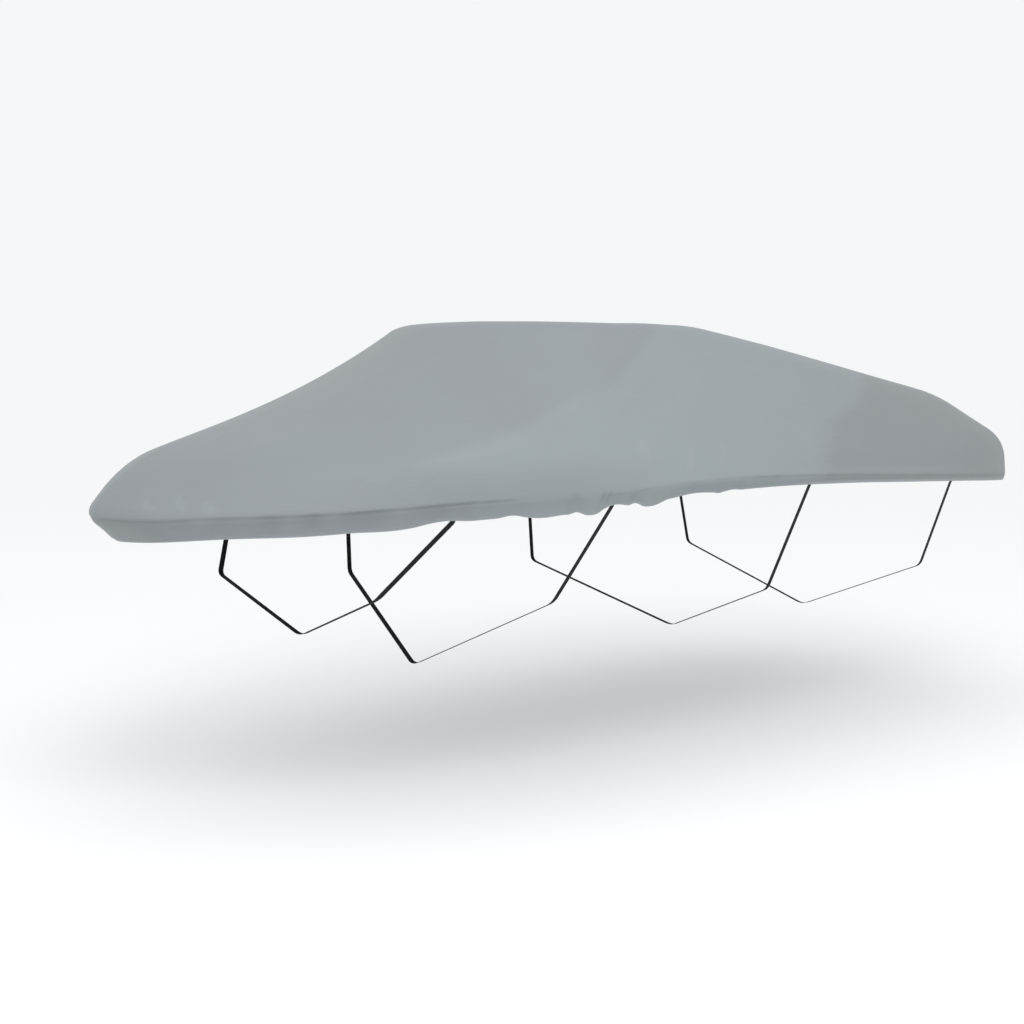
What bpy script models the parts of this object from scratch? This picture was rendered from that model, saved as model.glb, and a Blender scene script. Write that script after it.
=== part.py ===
"""Boat cover: one fitted cloth for a 17 ft runabout, with the four straps that hold it down.

The boat itself isn't here. The cloth keeps the shape that it has when it is pulled over one: it
rises from the bow to the top edge of the windshield, runs level over it, falls in a straight line
to the stern, and turns in under the rail all round, where its hem is gathered. Each strap starts
inside the hem, runs down the hull's side, bends at the chine and passes under the keel.

Units are metres, +X points aft, +Y to starboard and +Z up. In the tables x is the distance aft of
the bow and a height is above the ground under the trailer. The origin is under the top of the
cloth, where the windshield's frame carries it.
"""

from collections import namedtuple

import bmesh
import bpy
from mathutils import Vector

NAME = "boat_cover"

# ---- driving dimensions ----------------------------------------------------------------------
CLOTH_THICKNESS = 0.002
STRAP_WIDTH = 0.025
STRAP_THICKNESS = 0.002
GAP = 0.0009  # between a strap and the cloth that it is sewn to
MOUNT_X = 2.30  # the origin, aft of the bow
MOUNT_HEIGHT = 2.060  # the origin, above the ground: the underside of the cloth there

PORT, STARBOARD = -1, 1
INWARDS, CENTRED = -1, 0  # the side of a surface that its thickness goes to

# The cloth is lofted over ribs. A rib runs from the hem's edge up to the rail, where the cloth is
# widest, over a knee just above it, on to the top edge (the windshield's, and aft of it the
# shoulder's) and in to the spine on the centreline. Each row is the port half of one rib, and
# "ribs" is the number of steps from it to the next row.
Rib = namedtuple(
    "Rib",
    "ribs rail_x rail_y rail_height hem_in hem_drop knee_in knee_rise "
    "edge_x edge_y edge_height edge_bend sag spine_x spine_height",
)
RIBS = (
    Rib(2, -0.010, 0.00, 1.252, 0.128, 0.110, 0.16, 0.194, 1.71, 0.00, 2.056, 0.08, 0.051, 1.84, 2.058),
    Rib(2, 0.031, 0.13, 1.250, 0.12, 0.108, 0.15, 0.191, 1.73, 0.14, 2.056, 0.08, 0.051, 1.90, 2.059),
    Rib(3, 0.13, 0.27, 1.246, 0.08, 0.097, 0.115, 0.186, 1.77, 0.27, 2.056, 0.07, 0.051, 1.98, 2.060),
    Rib(3, 0.32, 0.45, 1.250, 0.055, 0.086, 0.08, 0.180, 1.85, 0.40, 2.054, 0.07, 0.049, 2.07, 2.061),
    Rib(4, 0.60, 0.64, 1.262, 0.045, 0.090, 0.055, 0.160, 1.97, 0.52, 2.052, 0.06, 0.045, 2.18, 2.062),
    Rib(5, 0.95, 0.81, 1.280, 0.04, 0.083, 0.035, 0.140, 2.15, 0.62, 2.050, 0.06, 0.034, 2.32, 2.062),
    Rib(8, 1.35, 0.93, 1.290, 0.035, 0.070, 0.03, 0.130, 2.42, 0.70, 2.049, 0.06, 0.018, 2.52, 2.061),
    Rib(9, 1.80, 1.00, 1.302, 0.035, 0.080, 0.03, 0.120, 2.70, 0.73, 2.047, 0.06, 0.006, 2.75, 2.059),
    Rib(6, 2.30, 1.035, 1.325, 0.035, 0.063, 0.03, 0.110, 2.95, 0.745, 2.021, 0.08, 0.000, 3.02, 2.041),
    Rib(5, 2.90, 1.05, 1.335, 0.03, 0.052, 0.03, 0.100, 3.32, 0.75, 1.971, 0.10, 0.000, 3.38, 2.007),
    Rib(4, 3.55, 1.05, 1.318, 0.03, 0.041, 0.03, 0.105, 3.76, 0.75, 1.905, 0.12, 0.000, 3.80, 1.963),
    Rib(4, 4.15, 1.045, 1.296, 0.03, 0.037, 0.03, 0.125, 4.20, 0.745, 1.838, 0.14, 0.000, 4.22, 1.915),
    Rib(3, 4.70, 1.035, 1.275, 0.03, 0.034, 0.02, 0.165, 4.60, 0.73, 1.778, 0.16, 0.000, 4.60, 1.870),
    Rib(3, 5.11, 1.005, 1.260, 0.015, 0.033, 0.012, 0.198, 4.89, 0.69, 1.740, 0.16, 0.000, 4.88, 1.840),
    Rib(3, 5.30, 0.90, 1.255, 0.012, 0.033, 0.018, 0.214, 5.01, 0.55, 1.745, 0.16, 0.000, 4.97, 1.828),
    Rib(3, 5.36, 0.52, 1.252, 0.012, 0.033, 0.035, 0.220, 5.08, 0.30, 1.765, 0.14, 0.000, 5.03, 1.820),
    Rib(0, 5.38, 0.00, 1.250, 0.012, 0.033, 0.035, 0.220, 5.11, 0.00, 1.78, 0.12, 0.000, 5.05, 1.816),
)
RAIL_BEND = 0.5  # reach of the rail's bend, as a share of the hem's way in
KNEE_BEND = 0.5  # reach of the knee's bend, as a share of its way in and its rise together
MOST_OF_RUN = 0.6  # a bend takes at most this share of the straight run on each side of it
SAG_LEAN = 1.25  # above 1, the side sags most nearer its top edge than the knee
RUN_STEPS = (2, 1, 4, 3)  # faces from hem to rail, to the knee, to the top edge and to the spine
BEND_STEPS = (2, 3, 3)  # faces round the rail, the knee and the top edge

# Gathers of the hem, where its drawcord has slipped along: each lifts the hem's edge over its
# reach, and puckers it outwards.
Gather = namedtuple("Gather", "side x reach lift pucker")
GATHERS = (
    Gather(PORT, 1.40, 0.09, 0.007, -0.003),
    Gather(PORT, 1.56, 0.14, -0.008, 0.005),
    Gather(PORT, 1.72, 0.07, 0.005, -0.004),
    Gather(PORT, 1.79, 0.08, -0.011, 0.006),
    Gather(PORT, 1.94, 0.12, 0.020, -0.005),
    Gather(PORT, 2.15, 0.12, -0.016, 0.007),
    Gather(PORT, 2.42, 0.17, 0.009, -0.003),
    Gather(STARBOARD, 1.48, 0.11, -0.008, 0.005),
    Gather(STARBOARD, 1.70, 0.10, 0.008, -0.004),
    Gather(STARBOARD, 1.83, 0.08, -0.007, 0.004),
    Gather(STARBOARD, 2.08, 0.12, -0.012, 0.006),
    Gather(STARBOARD, 2.30, 0.13, 0.012, -0.004),
    Gather(STARBOARD, 2.57, 0.13, -0.006, 0.004),
)

# Creases that the pull of the cloth leaves in its sides: soft ridges (or, with a fall, troughs)
# from a fore end to an aft end, each given by its distance aft of the bow and its height.
Crease = namedtuple("Crease", "side fore_x fore_height aft_x aft_height width rise")
CREASES = (
    Crease(PORT, 1.02, 1.45, 1.62, 1.56, 0.11, 0.008),
    Crease(PORT, 1.62, 1.56, 2.62, 2.01, 0.12, 0.010),
    Crease(PORT, 1.95, 1.50, 2.75, 1.90, 0.13, -0.006),
    Crease(PORT, 2.80, 1.46, 3.30, 1.74, 0.12, 0.004),
    Crease(STARBOARD, 1.10, 1.47, 1.75, 1.60, 0.12, 0.008),
    Crease(STARBOARD, 1.75, 1.60, 2.60, 1.99, 0.12, 0.009),
    Crease(STARBOARD, 2.10, 1.52, 2.80, 1.86, 0.13, -0.006),
)

# The straps, each from where it leaves the hem, down the hull's side to the chine, and on to the keel.
Strap = namedtuple("Strap", "hem_x chine_x chine_y chine_height keel_x keel_height")
STRAPS = (
    Strap(1.13, 0.93, 0.60, 0.890, 0.97, 0.67),
    Strap(1.92, 1.78, 0.75, 0.815, 1.60, 0.46),
    Strap(3.27, 3.16, 0.85, 0.760, 3.42, 0.45),
    Strap(4.59, 4.54, 0.85, 0.770, 4.62, 0.45),
)
STRAP_LAP = 0.85  # how far a strap reaches up inside the hem, as a share of its flat band
STRAP_BELOW = 0.009  # how far below the hem's edge it turns to follow the hull
STRAP_BENDS = (0.008, 0.030, 0.040)  # reach of its bends at the hem, the chine and the keel
STRAP_STEPS = 4  # faces along each of its straight runs
STRAP_BEND_STEPS = 4  # and round each of its bends

CLOTH_GREY = (0.25, 0.27, 0.285)
CLOTH_ROUGHNESS = 0.6
STRAP_BLACK = (0.012, 0.012, 0.013)
STRAP_ROUGHNESS = 0.7


def place(x, y, height):
    """A point of the tables in the part's own frame."""
    return Vector((x - MOUNT_X, y, height - MOUNT_HEIGHT))


def hump(t):
    """1 at the middle, where t is 0, fading smoothly to 0 where t is 1 or more."""
    return (1 - t * t) ** 2 if abs(t) < 1 else 0.0


def mirrored(rib):
    return rib._replace(rail_y=-rib.rail_y, edge_y=-rib.edge_y)


def between(rows, index, t):
    """The rib a share t of the way from one row to the next, on a smooth curve through all."""
    before = rows[index - 1] if index > 0 else mirrored(rows[1])
    after = rows[index + 2] if index + 2 < len(rows) else mirrored(rows[-2])
    values = []
    for a, b, c, d in zip(before, rows[index], rows[index + 1], after):
        slope, bow, twist = c - a, 2 * a - 5 * b + 4 * c - d, 3 * (b - c) + d - a
        values.append(b + t * (slope + t * (bow + t * twist)) / 2)
    return Rib(*values)


def all_ribs():
    """Every rib of the port half, from the bow to the stern."""
    ribs = []
    for index, row in enumerate(RIBS[:-1]):
        ribs += [between(RIBS, index, step / row.ribs) for step in range(row.ribs)]
    return ribs + [RIBS[-1]]


def inward(ribs, index):
    """The level direction that points in from the port rail, square to it, at one rib."""
    before = ribs[index - 1] if index > 0 else mirrored(ribs[1])
    after = ribs[index + 1] if index + 1 < len(ribs) else mirrored(ribs[-2])
    along_x, along_y = after.rail_x - before.rail_x, after.rail_y - before.rail_y
    return Vector((along_y, along_x, 0)).normalized()


def straight(start, end, steps):
    return [start.lerp(end, step / steps) for step in range(1, steps + 1)]


def rounded(corners, reaches, run_steps, bend_steps):
    """Points along a line through the corners, with each inner corner rounded off over its reach.

    There is a number of steps for each straight run, and for each bend.
    """
    points = [corners[0]]
    for index, reach in enumerate(reaches):
        corner = corners[index + 1]
        back, ahead = corners[index] - corner, corners[index + 2] - corner
        into = corner + back.normalized() * min(reach, MOST_OF_RUN * back.length)
        out = corner + ahead.normalized() * min(reach, MOST_OF_RUN * ahead.length)
        points += straight(points[-1], into, run_steps[index])
        for step in range(1, bend_steps[index] + 1):
            t = step / bend_steps[index]
            points.append(into.lerp(corner, t).lerp(corner.lerp(out, t), t))
    return points + straight(points[-1], corners[-1], run_steps[-1])


def rib_points(ribs, index, side):
    """The points of one rib on one side, from the hem's edge to the spine."""
    rib, inwards = ribs[index], inward(ribs, index)
    rail = Vector((rib.rail_x, -rib.rail_y, rib.rail_height))
    lift = pucker = 0.0
    for gather in GATHERS:
        if gather.side == side:
            share = hump((rib.rail_x - gather.x) / gather.reach)
            lift += gather.lift * share
            pucker += gather.pucker * share
    hem = rail + inwards * (rib.hem_in - pucker) - Vector((0, 0, rib.hem_drop - lift))
    knee = rail + inwards * rib.knee_in + Vector((0, 0, rib.knee_rise))
    edge = Vector((rib.edge_x, -rib.edge_y, rib.edge_height))
    spine = Vector((rib.spine_x, 0, rib.spine_height))
    knee_bend = KNEE_BEND * (rib.knee_in + rib.knee_rise)
    reaches = (RAIL_BEND * rib.hem_in, knee_bend, rib.edge_bend)
    points = rounded((hem, rail, knee, edge, spine), reaches, RUN_STEPS, BEND_STEPS)
    above_knee = sum(RUN_STEPS[:2]) + sum(BEND_STEPS[:2])
    for step in range(1, RUN_STEPS[2]):
        t = (step / RUN_STEPS[2]) ** SAG_LEAN
        points[above_knee + step].z -= 4 * t * (1 - t) * rib.sag
    return [place(point.x, -side * point.y, point.z) for point in points]


def add_creases(mesh):
    """Push the points near each crease out, or in, along their normals."""
    for crease in CREASES:
        fore = Vector((crease.fore_x - MOUNT_X, crease.fore_height - MOUNT_HEIGHT))
        aft = Vector((crease.aft_x - MOUNT_X, crease.aft_height - MOUNT_HEIGHT))
        run = aft - fore
        for vertex in mesh.verts:
            if vertex.co.y * crease.side <= 0:
                continue
            spot = Vector((vertex.co.x, vertex.co.z)) - fore
            along = spot.dot(run) / run.length_squared
            off = abs(spot.x * run.y - spot.y * run.x) / run.length
            fade = hump(2 * along - 1) ** 0.5
            vertex.co += vertex.normal * crease.rise * fade * hump(off / crease.width)


def material(name, colour, roughness):
    made = bpy.data.materials.new(name)
    made.use_nodes = True
    shader = made.node_tree.nodes["Principled BSDF"]
    shader.inputs["Base Color"].default_value = (*colour, 1)
    shader.inputs["Roughness"].default_value = roughness
    shader.inputs["Metallic"].default_value = 0
    made.diffuse_color = (*colour, 1)
    return made


def band_at(ribs, x, side):
    """The hem's edge and the top of the flat band above it, on the cloth's outer face at x."""
    index = next(number for number in range(len(ribs)) if ribs[number + 1].rail_x > x)
    share = (x - ribs[index].rail_x) / (ribs[index + 1].rail_x - ribs[index].rail_x)
    fore, aft = rib_points(ribs, index, side), rib_points(ribs, index + 1, side)
    top = RUN_STEPS[0]
    return fore[0].lerp(aft[0], share), fore[top].lerp(aft[top], share)


def strap_corners(ribs, strap, side):
    """The corners of half a strap, from inside the hem to the chine, and its direction across."""
    fore, fore_top = band_at(ribs, strap.hem_x - STRAP_WIDTH / 2, side)
    aft, aft_top = band_at(ribs, strap.hem_x + STRAP_WIDTH / 2, side)
    edge, along = (fore + aft) / 2, (aft - fore).normalized()
    up = (fore_top + aft_top) / 2 - edge
    inwards = up.cross(along).normalized() * -side
    edge += inwards * (CLOTH_THICKNESS + GAP + STRAP_THICKNESS / 2)
    chine = place(strap.chine_x, side * strap.chine_y, strap.chine_height)
    return [edge + up * STRAP_LAP, edge - up.normalized() * STRAP_BELOW, chine], along


def add_strap(name, ribs, strap, finish):
    """One strap: a flat band on its route from the port hem, under the keel, to the starboard hem."""
    port, port_along = strap_corners(ribs, strap, PORT)
    starboard, starboard_along = strap_corners(ribs, strap, STARBOARD)
    keel = place(strap.keel_x, 0, strap.keel_height)
    corners = port + [keel] + starboard[::-1]
    reaches = STRAP_BENDS + STRAP_BENDS[-2::-1]
    run_steps, bend_steps = [STRAP_STEPS] * (len(reaches) + 1), [STRAP_BEND_STEPS] * len(reaches)
    route = rounded(corners, reaches, run_steps, bend_steps)
    mesh = bmesh.new()
    rows = []
    for index, point in enumerate(route):
        run = (route[min(index + 1, len(route) - 1)] - route[max(index - 1, 0)]).normalized()
        aft = port_along.lerp(starboard_along, index / (len(route) - 1))
        across = (aft - run * aft.dot(run)).normalized() * STRAP_WIDTH / 2
        rows.append((mesh.verts.new(point - across), mesh.verts.new(point + across)))
    for (fore, aft), (next_fore, next_aft) in zip(rows, rows[1:]):
        mesh.faces.new((fore, next_fore, next_aft, aft))
    return add_object(name, mesh, finish, STRAP_THICKNESS, CENTRED)


def add_object(name, mesh, finish, thickness, offset):
    """An object from an open surface, given its thickness on one side of it or centred on it."""
    data = bpy.data.meshes.new(name)
    mesh.to_mesh(data)
    mesh.free()
    data.shade_smooth()
    data.materials.append(finish)
    made = bpy.data.objects.new(name, data)
    parts.objects.link(made)
    shell = made.modifiers.new("Thickness", "SOLIDIFY")
    shell.thickness = thickness
    shell.offset = offset
    shell.use_even_offset = True
    return made


def add_cover(ribs, finish):
    """The cloth: rings of faces from the hem up to the spine, round both sides."""
    mesh = bmesh.new()
    last = len(ribs) - 1
    port, starboard = [], []
    for index in range(last + 1):
        port.append([mesh.verts.new(point) for point in rib_points(ribs, index, PORT)])
    for index in range(1, last):
        points = rib_points(ribs, index, STARBOARD)
        starboard.append([mesh.verts.new(point) for point in points[:-1]] + [port[index][-1]])
    loop = port + starboard[::-1]
    for here, following in zip(loop, loop[1:] + loop[:1]):
        for low in range(len(here) - 1):
            mesh.faces.new((here[low], following[low], following[low + 1], here[low + 1]))
    mesh.normal_update()
    add_creases(mesh)
    return add_object("cover_cloth", mesh, finish, CLOTH_THICKNESS, INWARDS)


for old in list(bpy.data.objects):
    bpy.data.objects.remove(old, do_unlink=True)
parts = bpy.data.collections.new(NAME)
bpy.context.scene.collection.children.link(parts)

cloth_finish = material("coated_polyester", CLOTH_GREY, CLOTH_ROUGHNESS)
strap_finish = material("black_webbing", STRAP_BLACK, STRAP_ROUGHNESS)
cover_ribs = all_ribs()
add_cover(cover_ribs, cloth_finish)
for number, strap in enumerate(STRAPS, start=1):
    add_strap(f"strap_{number}", cover_ribs, strap, strap_finish)
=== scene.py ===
# %% [markdown]
# # A fitted boat cover
#
# A boat cover is one large cloth, sewn so that it fits over the whole top of a boat. It runs up from
# the bow to the windshield, over it, and down to the stern, and its hem turns in under the rail,
# where straps pull it down. Here the boat is left out, and the cloth keeps the shape it gave.
#
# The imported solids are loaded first, because every piece below takes a place that they hold.

# %% The frame
import math
from collections import namedtuple

import bmesh
import bpy
from mathutils import Matrix, Vector, noise
from mathutils.bvhtree import BVHTree


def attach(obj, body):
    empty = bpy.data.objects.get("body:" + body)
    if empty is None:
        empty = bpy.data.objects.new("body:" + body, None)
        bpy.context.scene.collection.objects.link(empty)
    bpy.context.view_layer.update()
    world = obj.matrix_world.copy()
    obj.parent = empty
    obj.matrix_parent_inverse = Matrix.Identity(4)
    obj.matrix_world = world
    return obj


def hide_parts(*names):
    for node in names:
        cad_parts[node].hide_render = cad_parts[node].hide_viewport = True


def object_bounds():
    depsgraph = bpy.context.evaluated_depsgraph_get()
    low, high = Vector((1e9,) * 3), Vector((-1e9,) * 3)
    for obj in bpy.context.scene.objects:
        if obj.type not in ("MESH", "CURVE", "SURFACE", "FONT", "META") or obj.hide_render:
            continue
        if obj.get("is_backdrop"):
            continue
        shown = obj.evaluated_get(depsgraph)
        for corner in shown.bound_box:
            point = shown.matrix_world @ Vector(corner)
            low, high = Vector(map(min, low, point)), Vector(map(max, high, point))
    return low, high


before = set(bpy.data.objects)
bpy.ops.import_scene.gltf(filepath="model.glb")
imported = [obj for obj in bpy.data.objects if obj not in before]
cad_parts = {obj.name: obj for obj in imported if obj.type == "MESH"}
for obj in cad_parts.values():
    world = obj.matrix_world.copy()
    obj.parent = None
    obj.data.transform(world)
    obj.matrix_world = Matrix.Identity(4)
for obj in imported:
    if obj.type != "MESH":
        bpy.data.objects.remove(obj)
cad_box = [list(corner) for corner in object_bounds()]
print("solids in the frame:", ", ".join(sorted(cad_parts)))

# %% [markdown]
# ## Measures
#
# A cover like this is measured on the boat: how wide the rail is at each place along it, how high it
# sits, and where the top edge runs. Each row of the table is one rib, half a hoop from the hem up to
# the line along the middle. Distances run aft from the bow, and heights start at the ground. The
# solids are made from the same rows, so the cloth that shows lies where its solid does. The first
# number is how many ribs of cloth lead to the next row: most where the hem is gathered. The knee is
# the soft bend above the rail, and the sag is how far the side hangs below a straight line.

# %% Measures of the cover
MOUNT_X = 2.30
MOUNT_HEIGHT = 2.060
PORT, STARBOARD = -1, 1

Rib = namedtuple(
    "Rib",
    "ribs rail_x rail_y rail_height hem_in hem_drop knee_in knee_rise "
    "edge_x edge_y edge_height edge_bend sag spine_x spine_height",
)
RIBS = (
    Rib(8, -0.010, 0.00, 1.252, 0.128, 0.110, 0.16, 0.194, 1.71, 0.00, 2.056, 0.08, 0.051, 1.84, 2.058),
    Rib(8, 0.031, 0.13, 1.250, 0.12, 0.108, 0.15, 0.191, 1.73, 0.14, 2.056, 0.08, 0.051, 1.90, 2.059),
    Rib(12, 0.13, 0.27, 1.246, 0.08, 0.097, 0.115, 0.186, 1.77, 0.27, 2.056, 0.07, 0.051, 1.98, 2.060),
    Rib(12, 0.32, 0.45, 1.250, 0.055, 0.086, 0.08, 0.180, 1.85, 0.40, 2.054, 0.07, 0.049, 2.07, 2.061),
    Rib(16, 0.60, 0.64, 1.262, 0.045, 0.090, 0.055, 0.160, 1.97, 0.52, 2.052, 0.06, 0.045, 2.18, 2.062),
    Rib(20, 0.95, 0.81, 1.280, 0.04, 0.083, 0.035, 0.140, 2.15, 0.62, 2.050, 0.06, 0.034, 2.32, 2.062),
    Rib(44, 1.35, 0.93, 1.290, 0.035, 0.070, 0.03, 0.130, 2.42, 0.70, 2.049, 0.06, 0.018, 2.52, 2.061),
    Rib(50, 1.80, 1.00, 1.302, 0.035, 0.080, 0.03, 0.120, 2.70, 0.73, 2.047, 0.06, 0.006, 2.75, 2.059),
    Rib(34, 2.30, 1.035, 1.325, 0.035, 0.063, 0.03, 0.110, 2.95, 0.745, 2.021, 0.08, 0.000, 3.02, 2.041),
    Rib(16, 2.90, 1.05, 1.335, 0.03, 0.052, 0.03, 0.100, 3.32, 0.75, 1.971, 0.10, 0.000, 3.38, 2.007),
    Rib(12, 3.55, 1.05, 1.318, 0.03, 0.041, 0.03, 0.105, 3.76, 0.75, 1.905, 0.12, 0.000, 3.80, 1.963),
    Rib(12, 4.15, 1.045, 1.296, 0.03, 0.037, 0.03, 0.125, 4.20, 0.745, 1.838, 0.14, 0.000, 4.22, 1.915),
    Rib(10, 4.70, 1.035, 1.275, 0.03, 0.034, 0.02, 0.165, 4.60, 0.73, 1.778, 0.16, 0.000, 4.60, 1.870),
    Rib(12, 5.11, 1.005, 1.260, 0.015, 0.033, 0.012, 0.198, 4.89, 0.69, 1.740, 0.16, 0.000, 4.88, 1.840),
    Rib(12, 5.30, 0.90, 1.255, 0.012, 0.033, 0.018, 0.214, 5.01, 0.55, 1.745, 0.16, 0.000, 4.97, 1.828),
    Rib(10, 5.36, 0.52, 1.252, 0.012, 0.033, 0.035, 0.220, 5.08, 0.30, 1.765, 0.14, 0.000, 5.03, 1.820),
    Rib(0, 5.38, 0.00, 1.250, 0.012, 0.033, 0.035, 0.220, 5.11, 0.00, 1.78, 0.12, 0.000, 5.05, 1.816),
)


def place(x, y, height):
    """A point of the tables, in the frame's own metres."""
    return Vector((x - MOUNT_X, y, height - MOUNT_HEIGHT))


print("ribs measured:", len(RIBS))

# %% [markdown]
# ### Gathers
#
# The cord in the hem draws the cloth into gathers, most of them amidships, and not quite alike on the
# two sides. Each row is one gather, with its middle and how far it reaches each way. Its lift raises
# the hem, and its pucker pushes the hem out. A simulation would put gathers anywhere, but a table
# puts each one where it belongs.

# %% Gathers
Gather = namedtuple("Gather", "side x reach lift pucker")
GATHERS = (
    Gather(PORT, 0.88, 0.15, -0.007, 0.002),
    Gather(PORT, 1.09, 0.13, 0.010, -0.003),
    Gather(PORT, 1.39, 0.07, 0.007, -0.003),
    Gather(PORT, 1.53, 0.12, -0.008, 0.005),
    Gather(PORT, 1.72, 0.05, 0.008, -0.004),
    Gather(PORT, 1.79, 0.08, -0.010, 0.006),
    Gather(PORT, 1.93, 0.11, 0.018, -0.005),
    Gather(PORT, 2.05, 0.05, 0.012, -0.003),
    Gather(PORT, 2.14, 0.12, -0.016, 0.007),
    Gather(PORT, 2.42, 0.17, 0.009, -0.003),
    Gather(PORT, 2.58, 0.04, -0.004, 0.002),
    Gather(PORT, 2.68, 0.07, 0.005, -0.002),
    Gather(STARBOARD, 1.48, 0.11, -0.008, 0.005),
    Gather(STARBOARD, 1.70, 0.10, 0.008, -0.004),
    Gather(STARBOARD, 1.83, 0.08, -0.007, 0.004),
    Gather(STARBOARD, 2.08, 0.12, -0.012, 0.006),
    Gather(STARBOARD, 2.30, 0.13, 0.012, -0.004),
    Gather(STARBOARD, 2.57, 0.13, -0.006, 0.004),
)
print("gathers of the hem:", len(GATHERS))

# %% [markdown]
# ## Camera
#
# The camera stands on the ground off the port bow, at eye height, and looks slightly down. It is
# placed before anything is made, so that each piece can be judged from where it will be seen.

# %% The camera
EYE = place(-2.59, -5.27, 1.73)
LOOK = Vector((0.674, 0.738, 0)).normalized()
LOOK_DOWN = math.radians(4.7)
FOCAL_SHARE = 1450 / 1024  # focal length as a share of the picture's width
SENSOR_WIDTH = 36
FARTHEST = 300

camera = bpy.data.objects.new("camera", bpy.data.cameras.new("camera"))
camera.data.sensor_width = SENSOR_WIDTH
camera.data.lens = FOCAL_SHARE * SENSOR_WIDTH
camera.data.clip_end = FARTHEST
camera.location = EYE
forward = LOOK * math.cos(LOOK_DOWN) - Vector((0, 0, math.sin(LOOK_DOWN)))
camera.rotation_euler = forward.to_track_quat("-Z", "Y").to_euler()
bpy.context.scene.collection.objects.link(camera)
bpy.context.scene.camera = camera
print("camera at", tuple(round(value, 2) for value in EYE))

# %% [markdown]
# ## Floor and light
#
# Cloth shows its form through soft shading, so the light comes from everywhere: a white sky, and one
# broad lamp above the port bow that makes the top a little brighter than the sides. The floor is a
# wide pale disc, level with the ground that the heights are measured from.

# %% Floor and light
FLOOR_RADIUS = 90
FLOOR_SIDES = 96
SKY = (0.965, 0.975, 0.985)
SKY_STRENGTH = 0.95
LAMP_SIZE = 5
LAMP_POWER = 230
LAMP_AT = (-3.2, -5.5, 4.6)
LAMP_AIM = (0, 0, -0.6)

floor_mesh = bmesh.new()
bmesh.ops.create_circle(floor_mesh, cap_ends=True, segments=FLOOR_SIDES, radius=FLOOR_RADIUS)
bmesh.ops.translate(floor_mesh, verts=floor_mesh.verts, vec=(0, 0, -MOUNT_HEIGHT))
floor = bpy.data.objects.new("floor", bpy.data.meshes.new("floor"))
floor_mesh.to_mesh(floor.data)
floor_mesh.free()
bpy.context.scene.collection.objects.link(floor)
floor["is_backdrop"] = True

world = bpy.data.worlds.new("sky")
world.use_nodes = True
sky = world.node_tree.nodes["Background"]
sky.inputs["Color"].default_value = (*SKY, 1)
sky.inputs["Strength"].default_value = SKY_STRENGTH
bpy.context.scene.world = world

lamp = bpy.data.objects.new("lamp", bpy.data.lights.new("lamp", "AREA"))
lamp.data.shape = "DISK"
lamp.data.size = LAMP_SIZE
lamp.data.energy = LAMP_POWER
lamp.location = LAMP_AT
lamp.rotation_euler = (Vector(LAMP_AIM) - Vector(LAMP_AT)).to_track_quat("-Z", "Y").to_euler()
bpy.context.scene.collection.objects.link(lamp)
bpy.context.scene.view_settings.view_transform = "Standard"
print("floor", FLOOR_RADIUS, "m; lamp", LAMP_POWER, "W")

# %% [markdown]
# ## Finishes
#
# Every finish starts as a Principled shader. Short helpers keep the node code readable: one starts a
# finish, one adds a node with its settings, and one wires a socket to another.

# %% Helpers for finishes
def set_sockets(node, settings):
    for socket, value in settings.items():
        node.inputs[socket].default_value = value


def start_finish(name, settings):
    """A finish, its nodes and its shader. Its colour also shows in the viewport."""
    made = bpy.data.materials.new(name)
    made.use_nodes = True
    made.diffuse_color = settings["Base Color"]
    shader = made.node_tree.nodes["Principled BSDF"]
    set_sockets(shader, settings)
    return made, made.node_tree, shader


def add_node(tree, kind, settings=None, **properties):
    made = tree.nodes.new("ShaderNode" + kind)
    for name, value in properties.items():
        setattr(made, name, value)
    set_sockets(made, settings or {})
    return made


def wire(tree, source, output, target, socket):
    tree.links.new(source.outputs[output], target.inputs[socket])


print("materials before the first finish:", len(bpy.data.materials))

# %% [markdown]
# ### A plain weave
#
# The cloth is polyester with a water-repellent coating. Close up it is a plain weave, where each
# thread goes over one and under the next: the product of two sine waves gives just that relief. The
# weave follows the cloth, so it is read from a UV map in metres.

# %% The weave
THREAD = 0.0008  # width of one thread of the weave
THREAD_RELIEF = {"Strength": 0.35, "Distance": 0.0002}


def add_weave(tree, shader, before):
    """Bump from a plain weave on the UV map named weave, on top of another bump."""
    metres = add_node(tree, "UVMap", uv_map="weave")
    parts = add_node(tree, "SeparateXYZ")
    wire(tree, metres, "UV", parts, "Vector")
    waves = []
    for axis in "XY":
        turns = add_node(tree, "Math", {1: math.pi / THREAD}, operation="MULTIPLY")
        wave = add_node(tree, "Math", operation="SINE")
        wire(tree, parts, axis, turns, 0)
        wire(tree, turns, 0, wave, 0)
        waves.append(wave)
    relief = add_node(tree, "Math", operation="MULTIPLY")
    wire(tree, waves[0], 0, relief, 0)
    wire(tree, waves[1], 0, relief, 1)
    bump = add_node(tree, "Bump", THREAD_RELIEF)
    wire(tree, relief, 0, bump, "Height")
    wire(tree, before, "Normal", bump, "Normal")
    wire(tree, bump, "Normal", shader, "Normal")


print("threads of the cloth:", round(1 / THREAD), "to a metre")
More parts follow.
